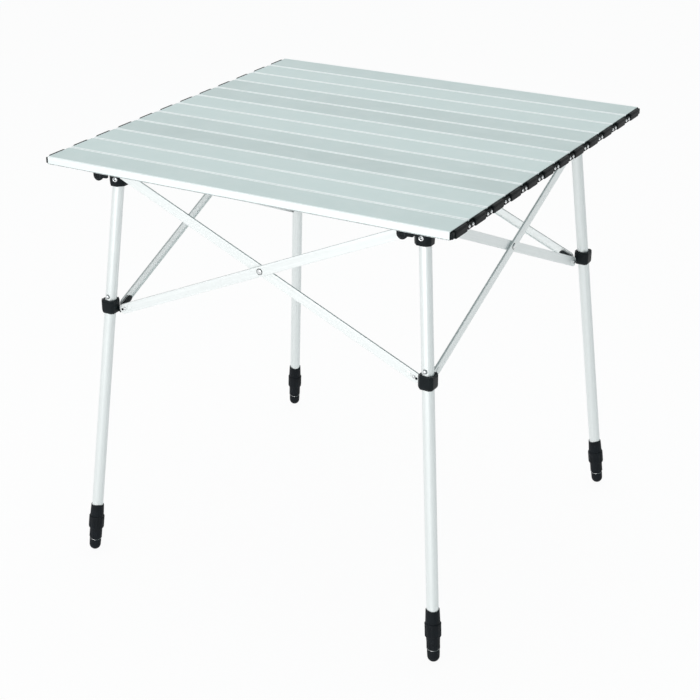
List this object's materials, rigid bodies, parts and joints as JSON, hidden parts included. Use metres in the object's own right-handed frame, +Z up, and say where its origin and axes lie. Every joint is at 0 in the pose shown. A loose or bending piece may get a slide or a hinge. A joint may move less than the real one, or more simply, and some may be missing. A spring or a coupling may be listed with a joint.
{
  "type": "folding camping table",
  "caption": "Folding camping table with a square roll-up top of grey-green aluminium slats, crossed flat braces, splayed silver tube legs, black hubs and collars, and black screw feet",
  "frame": {"origin": "on the floor, below the middle of the top", "axes": "X along the slats, Y from the front to the back, Z up"},
  "size_m": [0.69, 0.6892, 0.7],
  "materials": {
    "slat_aluminium": "satin, pale grey-green anodised",
    "tube_aluminium": "satin bright",
    "brace_aluminium": "satin",
    "black_plastic": "fine grained black",
    "foot_rubber": "matt black",
    "rivet_steel": "polished"
  },
  "bodies": {
    "hub_fl": {"hub_fl": "black_plastic"},
    "hub_fr": {"hub_fr": "black_plastic"},
    "hub_br": {"hub_br": "black_plastic"},
    "hub_bl": {"hub_bl": "black_plastic"},
    "brace_front_a": {"brace_front_a": "brace_aluminium", "rivet_front": "rivet_steel"},
    "brace_front_b": {"brace_front_b": "brace_aluminium"},
    "brace_right_a": {"brace_right_a": "brace_aluminium", "rivet_right": "rivet_steel"},
    "brace_right_b": {"brace_right_b": "brace_aluminium"},
    "brace_back_a": {"brace_back_a": "brace_aluminium", "rivet_back": "rivet_steel"},
    "brace_back_b": {"brace_back_b": "brace_aluminium"},
    "brace_left_a": {"brace_left_a": "brace_aluminium", "rivet_left": "rivet_steel"},
    "brace_left_b": {"brace_left_b": "brace_aluminium"},
    "collar_fl": {"collar_fl": "black_plastic"},
    "leg_fl": {"leg_fl": "tube_aluminium", "foot_sleeve_fl": "foot_rubber"},
    "screw_foot_fl": {"screw_foot_fl": "foot_rubber"},
    "button_fl": {"button_fl": "rivet_steel"},
    "lever_fl": {"lever_fl": "black_plastic"},
    "collar_fr": {"collar_fr": "black_plastic"},
    "leg_fr": {"leg_fr": "tube_aluminium", "foot_sleeve_fr": "foot_rubber"},
    "screw_foot_fr": {"screw_foot_fr": "foot_rubber"},
    "button_fr": {"button_fr": "rivet_steel"},
    "lever_fr": {"lever_fr": "black_plastic"},
    "collar_br": {"collar_br": "black_plastic"},
    "leg_br": {"leg_br": "tube_aluminium", "foot_sleeve_br": "foot_rubber"},
    "screw_foot_br": {"screw_foot_br": "foot_rubber"},
    "button_br": {"button_br": "rivet_steel"},
    "lever_br": {"lever_br": "black_plastic"},
    "collar_bl": {"collar_bl": "black_plastic"},
    "leg_bl": {"leg_bl": "tube_aluminium", "foot_sleeve_bl": "foot_rubber"},
    "screw_foot_bl": {"screw_foot_bl": "foot_rubber"},
    "button_bl": {"button_bl": "rivet_steel"},
    "lever_bl": {"lever_bl": "black_plastic"},
    "slat_01": {"slat_01": "slat_aluminium"},
    "slat_02": {"slat_02": "slat_aluminium"},
    "slat_03": {"slat_03": "slat_aluminium"},
    "slat_04": {"slat_04": "slat_aluminium"},
    "slat_05": {"slat_05": "slat_aluminium"},
    "slat_06": {"slat_06": "slat_aluminium"},
    "slat_07": {"slat_07": "slat_aluminium"},
    "slat_08": {"slat_08": "slat_aluminium"},
    "slat_09": {"slat_09": "slat_aluminium"},
    "slat_10": {"slat_10": "slat_aluminium"},
    "slat_11": {"slat_11": "slat_aluminium"},
    "slat_12": {"slat_12": "slat_aluminium"}
  },
  "joints": [
    {"name": "frame_fold", "type": "hinge", "parent": "hub_fr", "child": "brace_front_a", "pos_m": [0.25055, -0.28025, 0.6665], "axis": [0, -1, 0], "range_deg": [0, 57.5]},
    {"name": "cross_front", "type": "hinge", "parent": "brace_front_a", "child": "brace_front_b", "pos_m": [0, -0.28025, 0.55675], "axis": [0, 1, 0], "range_deg": [0, 116]},
    {"name": "hub_fl_pivot", "type": "hinge", "parent": "brace_front_b", "child": "hub_fl", "pos_m": [-0.25055, -0.28025, 0.6665], "axis": [0, -1, 0], "range_deg": [0, 58]},
    {"name": "collar_fr_pivot", "type": "hinge", "parent": "brace_front_b", "child": "collar_fr", "pos_m": [0.25055, -0.28025, 0.447], "axis": [0, -1, 0], "range_deg": [0, 58]},
    {"name": "collar_fl_pivot", "type": "hinge", "parent": "brace_front_a", "child": "collar_fl", "pos_m": [-0.25055, -0.28025, 0.447], "axis": [0, 1, 0], "range_deg": [0, 58]},
    {"name": "brace_right_pivot", "type": "hinge", "parent": "hub_fr", "child": "brace_right_a", "pos_m": [0.28025, -0.25055, 0.6665], "axis": [-1, 0, 0], "range_deg": [0, 58]},
    {"name": "cross_right", "type": "hinge", "parent": "brace_right_a", "child": "brace_right_b", "pos_m": [0.28025, 0, 0.55675], "axis": [1, 0, 0], "range_deg": [0, 116]},
    {"name": "hub_br_pivot", "type": "hinge", "parent": "brace_right_b", "child": "hub_br", "pos_m": [0.28025, 0.25055, 0.6665], "axis": [-1, 0, 0], "range_deg": [0, 58]},
    {"name": "collar_br_pivot", "type": "hinge", "parent": "brace_right_a", "child": "collar_br", "pos_m": [0.28025, 0.25055, 0.447], "axis": [1, 0, 0], "range_deg": [0, 58]},
    {"name": "brace_left_pivot", "type": "hinge", "parent": "hub_fl", "child": "brace_left_a", "pos_m": [-0.28025, -0.25055, 0.6665], "axis": [-1, 0, 0], "range_deg": [0, 58]},
    {"name": "cross_left", "type": "hinge", "parent": "brace_left_a", "child": "brace_left_b", "pos_m": [-0.28025, 0, 0.55675], "axis": [1, 0, 0], "range_deg": [0, 116]},
    {"name": "hub_bl_pivot", "type": "hinge", "parent": "brace_left_b", "child": "hub_bl", "pos_m": [-0.28025, 0.25055, 0.6665], "axis": [-1, 0, 0], "range_deg": [0, 58]},
    {"name": "collar_bl_pivot", "type": "hinge", "parent": "brace_left_a", "child": "collar_bl", "pos_m": [-0.28025, 0.25055, 0.447], "axis": [1, 0, 0], "range_deg": [0, 58]},
    {"name": "brace_back_pivot", "type": "hinge", "parent": "hub_br", "child": "brace_back_a", "pos_m": [0.25055, 0.28025, 0.6665], "axis": [0, -1, 0], "range_deg": [0, 58]},
    {"name": "cross_back", "type": "hinge", "parent": "brace_back_a", "child": "brace_back_b", "pos_m": [0, 0.28025, 0.55675], "axis": [0, 1, 0], "range_deg": [0, 116]},
    {"name": "leg_fl_tilt", "type": "hinge", "parent": "hub_fl", "child": "leg_fl", "pos_m": [-0.26655, -0.26655, 0.6665], "axis": [0.7071, -0.7071, 0], "range_deg": [0, 4.5]},
    {"name": "leg_fr_tilt", "type": "hinge", "parent": "hub_fr", "child": "leg_fr", "pos_m": [0.26655, -0.26655, 0.6665], "axis": [0.7071, 0.7071, 0], "range_deg": [0, 4.5]},
    {"name": "leg_br_tilt", "type": "hinge", "parent": "hub_br", "child": "leg_br", "pos_m": [0.26655, 0.26655, 0.6665], "axis": [-0.7071, 0.7071, 0], "range_deg": [0, 4.5]},
    {"name": "leg_bl_tilt", "type": "hinge", "parent": "hub_bl", "child": "leg_bl", "pos_m": [-0.26655, 0.26655, 0.6665], "axis": [-0.7071, -0.7071, 0], "range_deg": [0, 4.5]},
    {"name": "screw_foot_fl_out", "type": "slide", "parent": "leg_fl", "child": "screw_foot_fl", "axis": [-0.0873, -0.0873, -0.9923], "range_m": [0, 0.012]},
    {"name": "button_fl_press", "type": "slide", "parent": "leg_fl", "child": "button_fl", "axis": [0, 1, 0], "range_m": [0, 0.003], "stiffness_N_per_m": 400},
    {"name": "lever_fl_swing", "type": "hinge", "parent": "hub_fl", "child": "lever_fl", "pos_m": [-0.28455, -0.26655, 0.6665], "axis": [0, -1, 0], "range_deg": [0, 45]},
    {"name": "screw_foot_fr_out", "type": "slide", "parent": "leg_fr", "child": "screw_foot_fr", "axis": [0.0873, -0.0873, -0.9923], "range_m": [0, 0.012]},
    {"name": "button_fr_press", "type": "slide", "parent": "leg_fr", "child": "button_fr", "axis": [0, 1, 0], "range_m": [0, 0.003], "stiffness_N_per_m": 400},
    {"name": "lever_fr_swing", "type": "hinge", "parent": "hub_fr", "child": "lever_fr", "pos_m": [0.24855, -0.26655, 0.6665], "axis": [0, -1, 0], "range_deg": [0, 45]},
    {"name": "screw_foot_br_out", "type": "slide", "parent": "leg_br", "child": "screw_foot_br", "axis": [0.0873, 0.0873, -0.9923], "range_m": [0, 0.012]},
    {"name": "button_br_press", "type": "slide", "parent": "leg_br", "child": "button_br", "axis": [0, -1, 0], "range_m": [0, 0.003], "stiffness_N_per_m": 400},
    {"name": "lever_br_swing", "type": "hinge", "parent": "hub_br", "child": "lever_br", "pos_m": [0.24855, 0.26655, 0.6665], "axis": [0, -1, 0], "range_deg": [0, 45]},
    {"name": "screw_foot_bl_out", "type": "slide", "parent": "leg_bl", "child": "screw_foot_bl", "axis": [-0.0873, 0.0873, -0.9923], "range_m": [0, 0.012]},
    {"name": "button_bl_press", "type": "slide", "parent": "leg_bl", "child": "button_bl", "axis": [0, -1, 0], "range_m": [0, 0.003], "stiffness_N_per_m": 400},
    {"name": "lever_bl_swing", "type": "hinge", "parent": "hub_bl", "child": "lever_bl", "pos_m": [-0.28455, 0.26655, 0.6665], "axis": [0, -1, 0], "range_deg": [0, 45]},
    {"name": "top_lift", "type": "slide", "parent": "hub_fr", "child": "slat_06", "axis": [0, 0, 1], "range_m": [0, 0.75]},
    {"name": "seam_05", "type": "hinge", "parent": "slat_06", "child": "slat_05", "pos_m": [0, -0.0575, 0.688], "axis": [1, 0, 0], "range_deg": [0, 29.5]},
    {"name": "seam_04", "type": "hinge", "parent": "slat_05", "child": "slat_04", "pos_m": [0, -0.115, 0.688], "axis": [1, 0, 0], "range_deg": [0, 29.5]},
    {"name": "seam_03", "type": "hinge", "parent": "slat_04", "child": "slat_03", "pos_m": [0, -0.1725, 0.688], "axis": [1, 0, 0], "range_deg": [0, 29.5]},
    {"name": "seam_02", "type": "hinge", "parent": "slat_03", "child": "slat_02", "pos_m": [0, -0.23, 0.688], "axis": [1, 0, 0], "range_deg": [0, 29.5]},
    {"name": "seam_01", "type": "hinge", "parent": "slat_02", "child": "slat_01", "pos_m": [0, -0.2875, 0.688], "axis": [1, 0, 0], "range_deg": [0, 29.5]},
    {"name": "seam_06", "type": "hinge", "parent": "slat_06", "child": "slat_07", "pos_m": [0, 0, 0.688], "axis": [-1, 0, 0], "range_deg": [0, 29.5]},
    {"name": "seam_07", "type": "hinge", "parent": "slat_07", "child": "slat_08", "pos_m": [0, 0.0575, 0.688], "axis": [-1, 0, 0], "range_deg": [0, 29.5]},
    {"name": "seam_08", "type": "hinge", "parent": "slat_08", "child": "slat_09", "pos_m": [0, 0.115, 0.688], "axis": [-1, 0, 0], "range_deg": [0, 29.5]},
    {"name": "seam_09", "type": "hinge", "parent": "slat_09", "child": "slat_10", "pos_m": [0, 0.1725, 0.688], "axis": [-1, 0, 0], "range_deg": [0, 29.5]},
    {"name": "seam_10", "type": "hinge", "parent": "slat_10", "child": "slat_11", "pos_m": [0, 0.23, 0.688], "axis": [-1, 0, 0], "range_deg": [0, 29.5]},
    {"name": "seam_11", "type": "hinge", "parent": "slat_11", "child": "slat_12", "pos_m": [0, 0.2875, 0.688], "axis": [-1, 0, 0], "range_deg": [0, 29.5]}
  ],
  "couplings": [
    {"joint": "cross_front", "follows": "frame_fold", "ratio": 2},
    {"joint": "hub_fl_pivot", "follows": "frame_fold", "ratio": 1},
    {"joint": "collar_fr_pivot", "follows": "frame_fold", "ratio": 1},
    {"joint": "collar_fl_pivot", "follows": "frame_fold", "ratio": 1},
    {"joint": "brace_right_pivot", "follows": "frame_fold", "ratio": 1},
    {"joint": "cross_right", "follows": "frame_fold", "ratio": 2},
    {"joint": "hub_br_pivot", "follows": "frame_fold", "ratio": 1},
    {"joint": "collar_br_pivot", "follows": "frame_fold", "ratio": 1},
    {"joint": "brace_left_pivot", "follows": "frame_fold", "ratio": 1},
    {"joint": "cross_left", "follows": "frame_fold", "ratio": 2},
    {"joint": "hub_bl_pivot", "follows": "frame_fold", "ratio": 1},
    {"joint": "collar_bl_pivot", "follows": "frame_fold", "ratio": 1},
    {"joint": "brace_back_pivot", "follows": "frame_fold", "ratio": 1},
    {"joint": "cross_back", "follows": "frame_fold", "ratio": 2},
    {"joint": "leg_fl_tilt", "follows": "frame_fold", "ratio": 0.07306},
    {"joint": "leg_fr_tilt", "follows": "frame_fold", "ratio": 0.07306},
    {"joint": "leg_br_tilt", "follows": "frame_fold", "ratio": 0.07306},
    {"joint": "leg_bl_tilt", "follows": "frame_fold", "ratio": 0.07306},
    {"joint": "seam_05", "follows": "top_lift", "rad_per_m": 0.67486},
    {"joint": "seam_04", "follows": "top_lift", "rad_per_m": 0.67486},
    {"joint": "seam_03", "follows": "top_lift", "rad_per_m": 0.67486},
    {"joint": "seam_02", "follows": "top_lift", "rad_per_m": 0.67486},
    {"joint": "seam_01", "follows": "top_lift", "rad_per_m": 0.67486},
    {"joint": "seam_06", "follows": "top_lift", "rad_per_m": 0.67486},
    {"joint": "seam_07", "follows": "top_lift", "rad_per_m": 0.67486},
    {"joint": "seam_08", "follows": "top_lift", "rad_per_m": 0.67486},
    {"joint": "seam_09", "follows": "top_lift", "rad_per_m": 0.67486},
    {"joint": "seam_10", "follows": "top_lift", "rad_per_m": 0.67486},
    {"joint": "seam_11", "follows": "top_lift", "rad_per_m": 0.67486}
  ]
}
